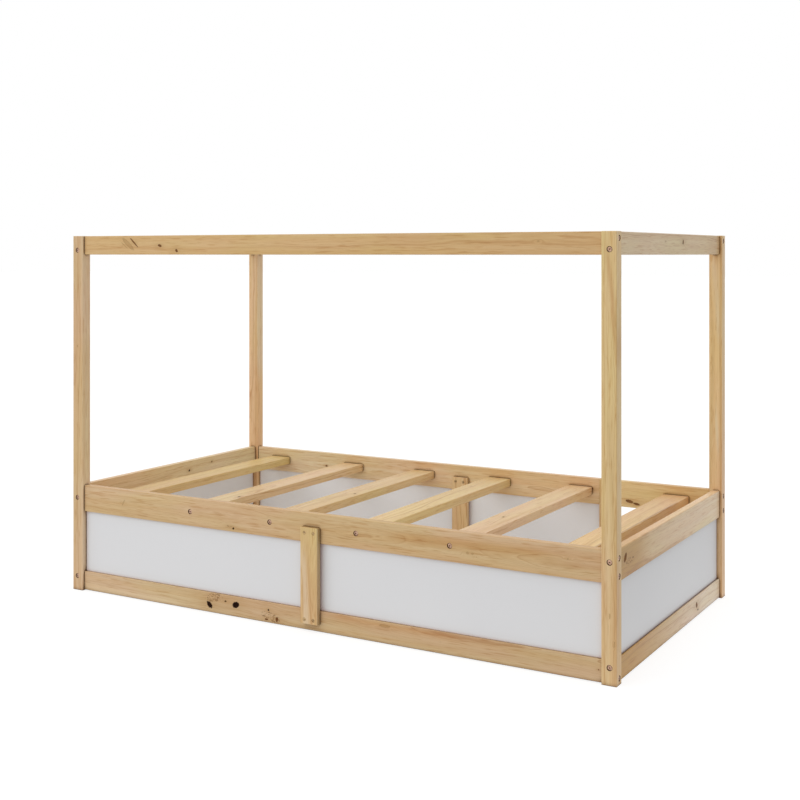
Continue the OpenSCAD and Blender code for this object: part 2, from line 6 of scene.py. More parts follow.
import bpy
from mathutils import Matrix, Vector


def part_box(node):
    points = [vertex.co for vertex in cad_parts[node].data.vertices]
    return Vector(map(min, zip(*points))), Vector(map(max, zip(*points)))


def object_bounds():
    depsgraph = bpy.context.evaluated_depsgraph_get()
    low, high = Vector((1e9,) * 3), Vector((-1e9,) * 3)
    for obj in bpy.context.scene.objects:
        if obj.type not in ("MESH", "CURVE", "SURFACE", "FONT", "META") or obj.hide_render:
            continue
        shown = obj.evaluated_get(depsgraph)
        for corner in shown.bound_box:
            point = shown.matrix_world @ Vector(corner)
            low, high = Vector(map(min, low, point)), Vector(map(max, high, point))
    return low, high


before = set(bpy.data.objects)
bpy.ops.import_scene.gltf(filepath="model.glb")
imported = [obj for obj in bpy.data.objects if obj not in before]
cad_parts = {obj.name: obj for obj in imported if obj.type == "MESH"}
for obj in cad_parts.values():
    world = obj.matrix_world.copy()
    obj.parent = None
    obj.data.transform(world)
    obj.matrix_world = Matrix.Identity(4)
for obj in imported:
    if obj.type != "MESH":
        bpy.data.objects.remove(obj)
cad_low, cad_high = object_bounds()

# Names of the boards and panels, in the order in which they take their seeds
POSTS = ["post_front_left", "post_front_right", "post_back_left", "post_back_right", "post_entry"]
RAILS = [
    "top_rail_front", "top_rail_back", "top_rail_left", "top_rail_right",
    "bed_rail_front", "bed_rail_back", "bed_rail_entry", "bed_rail_left", "bed_rail_right",
    "bottom_rail_front", "bottom_rail_back", "bottom_rail_left", "bottom_rail_right",
]
BATTENS = ["batten_front_outer", "batten_front_inner", "batten_back_outer", "batten_back_inner"]
SLATS = [f"slat_{number}" for number in range(1, 7)]
PANELS = [
    "panel_front_left", "panel_front_right", "panel_back_left", "panel_back_right",
    "panel_end_left", "panel_end_right",
]
STEEL = [
    "long_rail_bolts", "short_rail_bolts", "slat_bolts",
    "long_rail_nuts", "short_rail_nuts", "slat_nuts",
]

# Seeds: the first of the boards and of the panels, and one for each other material
BOARD_SEED = 1
PANEL_SEED = 51
BOLT_SEED, SCREW_SEED, BEECH_SEED = 61, 62, 63

# Noises: cells in a metre on each axis, for a board along, across and through it, what is added
# to the material's seed, and detail
NOISES = {
    "sway": ((1.6, 7.0, 7.0), 0.0, 1.5),
    "ripple": ((9.0, 26.0, 26.0), 0.4, 2.0),
    "fibre": ((12.0, 800.0, 800.0), 0.8, 2.0),
    "streak": ((1.2, 62.0, 62.0), 1.2, 2.0),
    "cloud": ((3.2, 15.0, 15.0), 1.6, 1.0),
    "pore": ((38.0, 1300.0, 1300.0), 2.0, 0.0),
    "dash": ((16.0, 240.0, 240.0), 2.4, 1.0),
    "knot_edge": ((320.0, 420.0, 420.0), 3.0, 1.0),
    "knot_fleck": ((150.0, 300.0, 300.0), 3.4, 1.0),
    "panel_cloud": ((3.0, 3.0, 3.0), 0.0, 2.0),
    "panel_peel": ((420.0, 420.0, 420.0), 0.5, 1.0),
    "panel_speck": ((160.0, 160.0, 160.0), 1.0, 0.0),
    "zinc_spangle": ((300.0, 300.0, 300.0), 0.0, 3.0),
    "zinc_scratch": ((2600.0, 2600.0, 700.0), 0.5, 2.0),
    "beech_fleck": ((260.0, 900.0, 900.0), 0.0, 1.0),
    "beech_cloud": ((40.0, 40.0, 40.0), 0.5, 2.0),
}

# Levels of a noise between which its marks grow from nothing to full
MARKS = {
    "fibre": (0.30, 0.72), "streak": (0.35, 0.70), "cloud": (0.35, 0.65), "pore": (0.70, 0.80),
    "dash": (0.54, 0.72), "knot_fleck": (0.50, 0.58), "panel_speck": (0.78, 0.84),
    "zinc_spangle": (0.35, 0.70), "beech_fleck": (0.62, 0.72),
}

# Joints, gaps and sockets where shade and warm bounced light are painted, found by how open a point's
# surroundings are: how far it looks in metres, and the openness at which a gap is full and at which it
# ends
GAPS = {
    "crevice_shade": (0.025, 0.35, 0.80),
    "contact_shade": (0.007, 0.40, 0.75),
    "panel_bounce": (0.026, 0.30, 0.85),
    "panel_slot_shade": (0.008, 0.15, 0.55),
    "bolt_socket_shade": (0.003, 0.25, 0.80),
    "screw_socket_shade": (0.006, 0.80, 0.97),
}
GAP_SAMPLES = 12

WHITE = (1.0, 1.0, 1.0, 1.0)


def tint(red, green, blue):
    """Linear colour of an sRGB one given from 0 to 255."""
    def linear(level):
        share = level / 255
        return share / 12.92 if share <= 0.04045 else ((share + 0.055) / 1.055) ** 2.4
    return (linear(red), linear(green), linear(blue), 1.0)


class Graph:
    """The node tree of a material or world, built by calls that return sockets."""

    def __init__(self, owner):
        owner.use_nodes = True
        self.owner = owner
        self.tree = owner.node_tree
        self.tree.nodes.clear()

    def node(self, kind, inputs, **settings):
        made = self.tree.nodes.new(kind)
        for key, value in settings.items():
            setattr(made, key, value)
        for key, value in inputs.items():
            if isinstance(value, bpy.types.NodeSocket):
                self.tree.links.new(value, made.inputs[key])
            else:
                made.inputs[key].default_value = value
        return made

    def math(self, operation, *values):
        return self.node("ShaderNodeMath", dict(enumerate(values)), operation=operation).outputs[0]

    def add(self, *values):
        total = values[0]
        for value in values[1:]:
            total = self.math("ADD", total, value)
        return total

    def times(self, a, b):
        return self.math("MULTIPLY", a, b)

    def less(self, a, b):
        return self.math("SUBTRACT", a, b)

    def inverse(self, share):
        """What a share leaves of 1."""
        return self.less(1.0, share)

    def square(self, value):
        return self.times(value, value)

    def length(self, a, b):
        """Length of the longest side of a triangle with a right angle between a and b."""
        return self.math("SQRT", self.add(self.square(a), self.square(b)))

    def step(self, value, low, high):
        """0 below low, 1 above high, smooth between them."""
        inputs = {"Value": value, "From Min": low, "From Max": high}
        return self.node("ShaderNodeMapRange", inputs, interpolation_type="SMOOTHSTEP").outputs[0]

    def mix(self, share, first, second, blend="MIX"):
        inputs = {0: share, 6: first, 7: second}
        return self.node("ShaderNodeMix", inputs, data_type="RGBA", blend_type=blend).outputs[2]

    def stain(self, colour, tone, share=1.0):
        """The colour seen through a tone, as far as the share says."""
        return self.mix(share, colour, tone, "MULTIPLY")

    def coordinates(self, kind):
        return self.node("ShaderNodeTexCoord", {}).outputs[kind]

    def point(self, x, y, z):
        return self.node("ShaderNodeCombineXYZ", {0: x, 1: y, 2: z}).outputs[0]

    def split(self, vector):
        return self.node("ShaderNodeSeparateXYZ", {0: vector}).outputs

    def scaled(self, vector, scale):
        inputs = {0: vector, 1: scale}
        return self.node("ShaderNodeVectorMath", inputs, operation="MULTIPLY").outputs[0]

    def noise(self, vector, name, seed):
        """One of the noises, from 0 to 1."""
        cells, shift, detail = NOISES[name]
        inputs = {"Vector": self.scaled(vector, cells), "W": seed + shift, "Scale": 1.0, "Detail": detail}
        return self.node("ShaderNodeTexNoise", inputs, noise_dimensions="4D").outputs[0]

    def marks(self, noise, name):
        return self.step(noise, *MARKS[name])

    def gap(self, name):
        """1 deep in a joint or a narrow gap, and 0 on open surfaces."""
        reach, full, end = GAPS[name]
        inputs = {"Distance": reach}
        found = self.node("ShaderNodeAmbientOcclusion", inputs, samples=GAP_SAMPLES)
        return self.inverse(self.step(found.outputs["AO"], full, end))

    def ramp(self, value, stops):
        made = self.node("ShaderNodeValToRGB", {0: value})
        elements = made.color_ramp.elements
        while len(elements) < len(stops):
            elements.new(0.5)
        for element, (place, level) in zip(elements, stops):
            element.position = place
            element.color = (level, level, level, 1.0)
        return made.outputs[0]

    def bump(self, height, distance, strength):
        inputs = {"Height": height, "Distance": distance, "Strength": strength}
        return self.node("ShaderNodeBump", inputs).outputs[0]

    def surface(self, **inputs):
        """Ends the tree in a principled shader, with underscores for spaces in its sockets."""
        named = {key.replace("_", " "): value for key, value in inputs.items()}
        shader = self.node("ShaderNodeBsdfPrincipled", named)
        self.node("ShaderNodeOutputMaterial", {0: shader.outputs[0]})
        return self.owner


def material_graph(name):
    return Graph(bpy.data.materials.new(name))


# Tones of the lacquered pine, from light to dark; the last two stand as painted shade on shaded sides
TONES = {
    "chalk": tint(250, 236, 226),
    "pearl": tint(249, 231, 205),
    "milk": tint(242, 226, 204),
    "ivory": tint(240, 221, 190),
    "corn": tint(247, 216, 164),
    "wheat": tint(242, 216, 164),
    "apricot": tint(243, 206, 170),
    "putty": tint(235, 211, 172),
    "blush": tint(238, 208, 170),
    "peach": tint(247, 205, 156),
    "cream": tint(232, 205, 158),
    "flax": tint(226, 200, 166),
    "straw": tint(231, 206, 152),
    "rose": tint(233, 198, 155),
    "sand": tint(225, 196, 160),
    "honey": tint(229, 197, 148),
    "fawn": tint(219, 191, 156),
    "tan": tint(222, 190, 142),
    "amber": tint(210, 164, 110),
    "nut": tint(205, 164, 92),
    "shade_clay": tint(166, 148, 128),
    "shade_umber": tint(164, 124, 90),
}

# A board's tones at the low and the high end of its length
BOARD_TONES = {
    "post_front_left": ("sand", "sand"), "post_front_right": ("blush", "wheat"),
    "post_back_left": ("rose", "blush"), "post_back_right": ("apricot", "corn"),
    "top_rail_front": ("honey", "honey"), "top_rail_right": ("ivory", "putty"),
    "bed_rail_front": ("sand", "sand"), "bed_rail_back": ("ivory", "blush"),
    "bed_rail_entry": ("wheat", "honey"), "bed_rail_left": ("blush", "ivory"),
    # The right bed and bottom rails pale towards their high end: painted sheen, standing for more light
    # reflected from their far part
    "bed_rail_right": ("nut", "pearl"),
    "bottom_rail_front": ("flax", "fawn"), "bottom_rail_right": ("nut", "chalk"),
    "batten_front_outer": ("honey", "straw"), "batten_back_inner": ("rose", "blush"),
    "slat_1": ("honey", "straw"), "slat_2": ("putty", "blush"), "slat_3": ("cream", "cream"),
    "slat_4": ("wheat", "cream"), "slat_5": ("blush", "blush"), "slat_6": ("corn", "rose"),
}
COMMON_TONES = ("honey", "cream")
# How far a streak moves the change from one to the other in metres, and the share of the
# board's length that the change takes on each side of the middle
TONE_STREAK = 0.3
TONE_REACH = 0.45

# Long coloured bands on a board: start and end along it, middle and half width across it, all in
# metres from the board's centre, how far the band slants across in a metre, and its tone. Where
# two bands lie on each other, they cover the wood more
BANDS = {
    "post_front_right": [
        (-0.63, -0.30, 0.018, 0.006, 0.00, "amber"), (0.20, 0.56, -0.008, 0.009, -0.11, "wheat"),
        (0.16, 0.58, 0.017, 0.007, -0.11, "amber"), (-0.20, 0.18, -0.012, 0.006, 0.03, "wheat"),
        (-0.32, 0.10, 0.012, 0.007, -0.05, "tan"), (-0.60, -0.35, -0.010, 0.008, 0.05, "rose"),
    ],
    "post_back_right": [
        (0.27, 0.55, 0.005, 0.012, -0.08, "milk"), (-0.30, 0.24, -0.014, 0.006, 0.02, "tan"),
        (-0.12, 0.02, 0.006, 0.005, -0.06, "milk"), (0.24, 0.60, -0.018, 0.006, -0.05, "tan"),
        (-0.27, 0.62, 0.0175, 0.0035, 0.0, "amber"),
    ],
    "post_front_left": [
        # The two pearl bands here are painted light that makes the post's side facing +X lighter
        (-0.63, 0.63, 0.0240, 0.004, 0.0, "pearl"), (-0.63, 0.63, 0.0240, 0.004, 0.0, "pearl"),
        (-0.22, 0.26, 0.0, 0.030, 0.0, "tan"),
    ],
    "post_back_left": [
        (-0.60, 0.60, 0.014, 0.006, 0.01, "amber"), (-0.63, 0.63, -0.019, 0.004, 0.0, "peach"),
        # This line and the next are painted light that makes the post's side facing +X lighter
        (0.02, 0.63, 0.0240, 0.004, 0.0, "pearl"), (0.10, 0.63, 0.0240, 0.004, 0.0, "pearl"),
        (-0.40, 0.05, 0.0240, 0.004, 0.0, "peach"),
    ],
    "batten_front_outer": [
        (-0.20, 0.08, -0.018, 0.013, -0.08, "milk"), (-0.20, 0.05, 0.004, 0.004, -0.08, "amber"),
        # The last band here is painted shade on the batten's side facing +X
        (-0.25, 0.25, 0.0325, 0.003, 0.0, "shade_clay"),
    ],
    "top_rail_front": [
        (-0.22, 0.22, 0.022, 0.008, 0.0, "straw"), (0.72, 0.93, -0.026, 0.005, 0.0, "tan"),
    ],
    "bottom_rail_front": [
        (0.08, 0.50, 0.020, 0.010, 0.0, "amber"), (-0.95, -0.55, -0.020, 0.009, 0.0, "ivory"),
    ],
    "bed_rail_front": [
        (0.30, 0.80, 0.012, 0.012, 0.0, "amber"), (-0.95, -0.30, 0.030, 0.008, 0.0, "ivory"),
        # This band is painted shade that dims the rail's lit top edge
        (-0.98, 0.98, 0.0475, 0.003, 0.0, "tan"),
    ],
    "bed_rail_right": [
        (-0.28, 0.20, 0.0, 0.060, 0.0, "pearl"), (-0.52, 0.52, 0.046, 0.003, 0.0, "peach"),
    ],
    "top_rail_right": [(0.36, 0.60, 0.0, 0.030, 0.0, "tan")],
    "slat_3": [(-0.50, 0.30, -0.025, 0.010, 0.0, "ivory")],
    "slat_5": [(-0.40, 0.50, 0.020, 0.010, 0.0, "honey")],
    # The first band here is painted shade on the slat's side facing +X
    "slat_6": [(-0.50, 0.35, 0.042, 0.004, 0.0, "shade_umber"), (-0.50, 0.10, 0.018, 0.007, 0.02, "tan")],
}
BAND_STRENGTH = 0.55
# How far a cloud moves a band's sides, and the fade at its ends, all in half widths, with the
# shortest fade in metres
BAND_WOBBLE = 1.6
BAND_FADE = 1.6
SHORTEST_FADE = 0.05

# Growth rings: how far their heart lies from the board's middle, across it as a share of its
# width and through it in metres, how far it drifts in a metre, and their pitch in metres
HEART_SIDE = 0.6
HEART_DEPTH = (0.045, 0.100)
HEART_DRIFT = 0.010
RING_PITCH = (0.0026, 0.0040)
# How far the sway and the ripple move the rings in metres
SWAY_REACH = 0.034
RIPPLE_REACH = 0.0040
# How quickly the pitch varies from ring to ring, and by up to how many rings
PITCH_CHANGE = 0.21
PITCH_SWING = 2.2
# A ring's late wood from its start to its end, and the share that the faintest ring keeps
RING_COURSE = [(0.0, 0.20), (0.30, 0.0), (0.75, 0.55), (0.90, 1.0), (1.0, 0.25)]
FAINTEST_RING = 0.15
# How strongly the rings show, where a board is calmer than the rest
RING_DEPTH = {
    "post_front_left": 0.55, "post_front_right": 0.50, "post_back_right": 0.60,
    "bed_rail_right": 0.80, "top_rail_front": 0.60, "slat_5": 0.70,
}

# Stains of the grain, over the board's tone: pairs go from a noise's low level to its high one
LATE_WOOD = tint(213, 183, 150)
STREAK_TONES = (tint(255, 255, 252), tint(250, 243, 230))
CLOUD_TONES = (tint(255, 250, 247), tint(253, 253, 240))
FIBRE_TONES = (tint(247, 245, 241), tint(255, 255, 255))
DASH_TONE = tint(228, 206, 178)
DASH_STRENGTH = 0.60
PORE_TONE = tint(140, 96, 56)
PORE_STRENGTH = 0.30

# Relief of the wood in metres and how strong it is, its height and roughness, and how the late
# wood and the fibres change them
GRAIN_RELIEF = 0.00012
GRAIN_BUMP = 0.6
LATE_HEIGHT = 0.6
FIBRE_HEIGHT = 0.5
WOOD_ROUGHNESS = 0.46
LATE_ROUGHNESS = -0.06
FIBRE_ROUGHNESS = 0.10
WOOD_SPECULAR = 0.09

# Share of the clear coat on sound wood, and where a board has less; a knot has less or none
COAT = 0.50
BOARD_COATS = {"bed_rail_front": 0.22, **{slat: 0.34 for slat in SLATS}}
COAT_ROUGHNESS = 0.34

# Sanded edges are a little paler and cut ends darker: the part of the normal that shows them,
# their tone, and how strong it is
EDGE_STEP, EDGE_TONE, EDGE_STRENGTH = (0.75, 0.99), tint(232, 198, 150), 0.10
END_STEP, END_TONE, END_STRENGTH = (0.85, 0.99), tint(150, 106, 62), 0.60

# Painted shade in the joints, and a darker painted line right where two pieces touch
CREVICE_SHADE_TONE = tint(104, 62, 32)
CREVICE_SHADE_STRENGTH = 0.70
CREVICE_ROUGHNESS = 0.35
CONTACT_SHADE_STRENGTH = 0.58

# Knots on a board: place along and across it in metres, in the bed's frame, radius in
# millimetres, stretch along the board, turn in degrees and kind
KNOTS = {
    "bottom_rail_front": [
        (-0.388, 0.052, 15.0, 2.4, 10, "mottled"), (-0.158, 0.022, 15.0, 2.6, -10, "mottled"),
        (-0.406, 0.027, 9.0, 1.6, -40, "dead"), (-0.340, 0.047, 3.0, 1.5, 0, "dead"),
        (-0.298, 0.041, 10.6, 1.4, 20, "dead"), (-0.167, 0.043, 3.0, 1.2, 0, "dead"),
        (-0.134, 0.017, 5.4, 1.6, 80, "red"), (-0.175, 0.012, 3.0, 2.2, 0, "red"),
        (0.267, 0.056, 5.0, 4.0, 0, "pale"), (0.954, 0.037, 1.8, 1.2, 0, "red"),
    ],
    "bed_rail_front": [
        (-0.783, 0.326, 2.5, 5.0, 60, "pale"), (-0.308, 0.289, 3.6, 1.3, 40, "dead"),
        (-0.325, 0.295, 4.5, 2.2, 0, "mottled"), (0.548, 0.311, 4.0, 1.2, 0, "pale"),
        (0.565, 0.311, 3.5, 1.2, 0, "pale"), (0.863, 0.332, 2.0, 1.6, 60, "pale"),
    ],
    "top_rail_front": [
        (-0.762, 1.219, 8.0, 4.2, -38, "pale"), (-0.735, 1.224, 2.8, 9.0, -42, "red"),
        (-0.778, 1.214, 2.0, 9.0, -36, "pale"), (-0.620, 1.213, 4.6, 1.9, -15, "red"),
        (-0.547, 1.196, 5.0, 1.3, -50, "red"), (0.773, 1.221, 2.5, 1.6, 0, "pale"),
    ],
    "bed_rail_right": [(-0.440, 0.335, 9.5, 1.6, 50, "red"), (-0.400, 0.318, 12.0, 3.0, 0, "mottled")],
    "bottom_rail_right": [(0.232, 0.040, 8.0, 1.3, -60, "red"), (0.245, 0.022, 3.0, 1.6, 0, "dead")],
    "top_rail_right": [(0.088, 1.222, 6.0, 1.3, 70, "red"), (-0.085, 1.223, 3.0, 2.0, 0, "pale")],
    "bed_rail_entry": [(0.676, 0.300, 6.0, 2.6, -12, "red"), (0.702, 0.293, 4.5, 2.8, -10, "red")],
    "bed_rail_back": [(0.532, 0.333, 5.0, 1.4, 0, "red"), (-0.62, 0.318, 4.0, 1.4, 0, "red")],
    "bed_rail_left": [(0.063, 0.333, 4.0, 1.3, 40, "dead"), (0.203, 0.348, 3.2, 1.3, 30, "red")],
    "bottom_rail_back": [(-0.41, 0.030, 5.0, 1.4, 20, "red")],
    "bottom_rail_left": [(0.12, 0.040, 5.5, 1.3, -30, "red")],
    "top_rail_back": [(0.31, 1.215, 5.0, 1.4, 15, "red"), (-0.52, 1.205, 3.0, 1.3, 0, "dead")],
    "top_rail_left": [(-0.21, 1.210, 4.5, 1.4, 30, "red")],
    "slat_2": [(-0.293, -0.461, 4.5, 1.6, 0, "dead")],
    "slat_3": [(-0.043, -0.142, 4.0, 1.8, 0, "red")],
    "slat_4": [(0.290, 0.150, 3.5, 1.8, 20, "pale")],
    "slat_5": [(-0.136, 0.480, 3.5, 1.8, 0, "red")],
    "slat_6": [(-0.426, 0.886, 2.2, 1.2, 0, "red")],
    "post_front_right": [(0.116, 1.003, 1.8, 5.0, 4, "pale"), (0.192, 0.990, 2.0, 4.0, 0, "pale")],
    "post_front_left": [(0.86, -0.990, 2.6, 1.6, 0, "pale")],
}

# A kind of knot: its heart's tone, how strongly it shows, how far it bends the grain in metres,
# and whether only flecks of it show
KNOT_KINDS = {
    "dead": {"heart": tint(16, 2, 0), "depth": 1.0, "bend": 0.0045, "flecked": False},
    "red": {"heart": tint(112, 64, 28), "depth": 0.88, "bend": 0.0040, "flecked": False},
    "pale": {"heart": tint(176, 136, 84), "depth": 0.40, "bend": 0.0050, "flecked": False},
    "mottled": {"heart": tint(120, 78, 38), "depth": 0.60, "bend": 0.0020, "flecked": True},
}
# Millimetres in a metre
MILLIMETRES = 1000
# How far round a knot the grain bends, in its radii, and how much a distance along the board
# counts in that beside one across it
KNOT_REACH = 2.2
KNOT_LENGTHWAYS = 0.16
# A knot's edge and rim, in its radii from the middle, and how ragged they are
KNOT_EDGE = (0.80, 1.05)
KNOT_RIM_EDGE = (0.55, 0.95)
KNOT_RAGGED = 0.8
# Tone and strength of the wood round a knot, of its rim and of the rings in its heart
KNOT_HALO, HALO_STRENGTH = tint(184, 140, 84), 0.42
KNOT_RIM, RIM_STRENGTH = tint(36, 14, 4), 0.55
KNOT_RING, KNOT_RING_STRENGTH, KNOT_RINGS = tint(96, 52, 26), 0.14, 3.2
# How much lower and rougher a knot is than sound wood
KNOT_SINK = 1.5
KNOT_ROUGHNESS = 0.30


class Board:
    """One board: its length, width and middle, and a shaded point's place on it from there."""

    def __init__(self, graph, node, seed):
        low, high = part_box(node)
        size = high - low
        middle = (low + high) / 2
        through, across, along = sorted(range(3), key=lambda axis: size[axis])
        place = graph.split(graph.coordinates("Object"))
        self.node = node
        self.seed = seed
        self.along_axis = along
        self.length, self.width = size[along], size[across]
        self.middle_a, self.middle_b = middle[along], middle[across]
        self.a = graph.less(place[along], middle[along])
        self.b = graph.less(place[across], middle[across])
        self.c = graph.less(place[through], middle[through])
        self.local = graph.point(self.a, self.b, self.c)


def knot_distance(graph, board, shape):
    """Distance from a knot's middle in its own radii, and a soft nearness round it."""
    along, across, radius, stretch, turn = shape
    a = graph.less(board.a, along - board.middle_a)
    b = graph.less(board.b, across - board.middle_b)
    cosine, sine = math.cos(math.radians(turn)), math.sin(math.radians(turn))
    u = graph.add(graph.times(a, cosine / stretch), graph.times(b, sine / stretch))
    v = graph.less(graph.times(b, cosine), graph.times(a, sine))
    distance = graph.times(graph.length(u, v), MILLIMETRES / radius)
    spread = graph.add(graph.times(graph.square(a), KNOT_LENGTHWAYS), graph.square(b))
    fall = (MILLIMETRES / (KNOT_REACH * radius)) ** 2
    return distance, graph.math("EXPONENT", graph.times(spread, -fall))


def band_mask(graph, board, shape, wobble):
    """How strongly a coloured band covers a point: soft at its sides and ends."""
    start, end, middle, width, slant = shape
    slope, mid_a = slant / width, (start + end) / 2
    offset = graph.add(graph.times(board.b, 1 / width), graph.times(board.a, -slope),
                       slope * mid_a - middle / width, graph.times(wobble, BAND_WOBBLE))
    side = graph.math("EXPONENT", graph.times(graph.square(offset), -1.0))
    fade = max(SHORTEST_FADE, BAND_FADE * width)
    rise = graph.step(board.a, start - fade, start + fade)
    fall = graph.inverse(graph.step(board.a, end - fade, end + fade))
    return graph.times(side, graph.times(rise, fall))


def growth_rings(graph, rng, board, bends):
    """Late wood, from 0 to 1, of rings round a heart that lies beyond one face of the board."""
    heart_b = rng.uniform(-HEART_SIDE, HEART_SIDE) * board.width
    heart_c = rng.choice((-1, 1)) * rng.uniform(*HEART_DEPTH)
    drift_b, drift_c = (rng.uniform(-HEART_DRIFT, HEART_DRIFT) for _ in range(2))
    from_heart_b = graph.less(board.b, graph.add(graph.times(board.a, drift_b), heart_b))
    from_heart_c = graph.less(board.c, graph.add(graph.times(board.a, drift_c), heart_c))
    sway = graph.noise(board.local, "sway", board.seed)
    ripple = graph.noise(board.local, "ripple", board.seed)
    radius = graph.add(graph.length(from_heart_b, from_heart_c), graph.times(sway, SWAY_REACH),
                       graph.times(ripple, RIPPLE_REACH), *bends)

    rings = graph.math("DIVIDE", radius, rng.uniform(*RING_PITCH))
    change = {"W": graph.times(rings, PITCH_CHANGE), "Detail": 0.0}
    slow = graph.node("ShaderNodeTexNoise", change, noise_dimensions="1D").outputs[0]
    rings = graph.add(rings, graph.times(slow, PITCH_SWING))
    late = graph.ramp(graph.math("FRACT", rings), RING_COURSE)
    number = {"W": graph.math("FLOOR", rings)}
    chance = graph.node("ShaderNodeTexWhiteNoise", number, noise_dimensions="1D").outputs[0]
    strength = graph.add(graph.times(graph.square(chance), 1 - FAINTEST_RING), FAINTEST_RING)
    return graph.times(late, strength)


def wood_colour(graph, board, late, fibre):
    """The board's tone along its length, with its bands, rings, streaks, dashes and pores."""
    streak, cloud, dash, pores = (
        graph.noise(board.local, name, board.seed) for name in ("streak", "cloud", "dash", "pore")
    )
    low_tone, high_tone = BOARD_TONES.get(board.node, COMMON_TONES)
    middle, reach = TONE_STREAK / 2, TONE_REACH * board.length
    shifted = graph.add(board.a, graph.times(streak, TONE_STREAK))
    along = graph.step(shifted, middle - reach, middle + reach)
    colour = graph.mix(along, TONES[low_tone], TONES[high_tone])
    for *shape, tone in BANDS.get(board.node, []):
        mask = band_mask(graph, board, shape, graph.less(cloud, 0.5))
        colour = graph.mix(graph.times(mask, BAND_STRENGTH), colour, TONES[tone])
    rings = graph.times(late, RING_DEPTH.get(board.node, 1.0))
    colour = graph.stain(colour, LATE_WOOD, rings)
    colour = graph.stain(colour, graph.mix(graph.marks(streak, "streak"), *STREAK_TONES))
    colour = graph.stain(colour, graph.mix(graph.marks(cloud, "cloud"), *CLOUD_TONES))
    colour = graph.stain(colour, DASH_TONE, graph.times(graph.marks(dash, "dash"), DASH_STRENGTH))
    colour = graph.stain(colour, graph.mix(graph.marks(fibre, "fibre"), *FIBRE_TONES))
    return graph.mix(graph.times(graph.marks(pores, "pore"), PORE_STRENGTH), colour, PORE_TONE)


def lay_knots(graph, board, knots, colour, height, roughness, coat):
    """The board's colour, height, roughness and coat with its knots on them."""
    ragged = graph.times(graph.less(graph.noise(board.local, "knot_edge", board.seed), 0.5), KNOT_RAGGED)
    flecks = graph.marks(graph.noise(board.local, "knot_fleck", board.seed), "knot_fleck")
    for distance, near, kind in knots:
        depth = kind["depth"]
        from_middle = graph.add(distance, ragged)
        inside = graph.inverse(graph.step(from_middle, *KNOT_EDGE))
        if kind["flecked"]:
            inside = graph.times(inside, flecks)
        rim = graph.times(inside, graph.step(from_middle, *KNOT_RIM_EDGE))
        rings = graph.math("FRACT", graph.times(distance, KNOT_RINGS))
        heart = graph.mix(graph.times(rings, KNOT_RING_STRENGTH), kind["heart"], KNOT_RING)
        colour = graph.mix(graph.times(near, depth * HALO_STRENGTH), colour, KNOT_HALO)
        colour = graph.mix(graph.times(inside, depth), colour, heart)
        colour = graph.mix(graph.times(rim, depth * RIM_STRENGTH), colour, KNOT_RIM)
        height = graph.less(height, graph.times(inside, depth * KNOT_SINK))
        roughness = graph.add(roughness, graph.times(inside, depth * KNOT_ROUGHNESS))
        coat = graph.times(coat, graph.inverse(graph.times(inside, depth)))
    return colour, height, roughness, coat


def edges_and_ends(graph, board, colour):
    """The colour with the board's sanded edges and its cut ends."""
    parts = [graph.math("ABSOLUTE", part) for part in graph.split(graph.coordinates("Normal"))]
    flat = graph.math("MAXIMUM", graph.math("MAXIMUM", parts[0], parts[1]), parts[2])
    edge = graph.inverse(graph.step(flat, *EDGE_STEP))
    colour = graph.mix(graph.times(edge, EDGE_STRENGTH), colour, EDGE_TONE)
    cut_end = graph.step(parts[board.along_axis], *END_STEP)
    return graph.mix(graph.times(cut_end, END_STRENGTH), colour, END_TONE)


def pine(node, seed):
    """Clear-coated pine for one board, cut from its own place in the log."""
    rng = random.Random(seed)
    graph = material_graph("pine_" + node)
    board = Board(graph, node, seed)
    knots = []
    for *shape, kind in KNOTS.get(node, []):
        knots.append((*knot_distance(graph, board, shape), KNOT_KINDS[kind]))
    bends = [graph.times(near, kind["bend"]) for _, near, kind in knots]
    late = growth_rings(graph, rng, board, bends)
    fibre = graph.noise(board.local, "fibre", seed)

    colour = wood_colour(graph, board, late, fibre)
    height = graph.add(graph.times(late, LATE_HEIGHT), graph.times(fibre, FIBRE_HEIGHT))
    roughness = graph.add(graph.times(late, LATE_ROUGHNESS), graph.times(fibre, FIBRE_ROUGHNESS),
                          WOOD_ROUGHNESS)
    coat = BOARD_COATS.get(node, COAT)
    if knots:
        colour, height, roughness, coat = lay_knots(graph, board, knots, colour, height, roughness, coat)

    colour = edges_and_ends(graph, board, colour)
    # Painted shade in the joints and where two pieces touch; the coat thins and the wood roughens there
    # too
    crevice_shade = graph.gap("crevice_shade")
    colour = graph.stain(colour, CREVICE_SHADE_TONE, graph.times(crevice_shade, CREVICE_SHADE_STRENGTH))
    colour = graph.stain(colour, CREVICE_SHADE_TONE, graph.times(graph.gap("contact_shade"), CONTACT_SHADE_STRENGTH))
    coat = graph.times(coat, graph.inverse(crevice_shade))
    roughness = graph.add(roughness, graph.times(crevice_shade, CREVICE_ROUGHNESS))
    return graph.surface(
        Base_Color=colour, Roughness=roughness, Specular_IOR_Level=WOOD_SPECULAR,
        Coat_Weight=coat, Coat_Roughness=COAT_ROUGHNESS,
        Normal=graph.bump(height, GRAIN_RELIEF, GRAIN_BUMP),
    )


# White panels: the coating's tones in sRGB, the painted light that makes the back ones lighter, its
# specks, and the painted warm light bounced from the wood and the painted shade beside the grooves
PANEL_TONES = (230, 230, 232), (235, 235, 236)
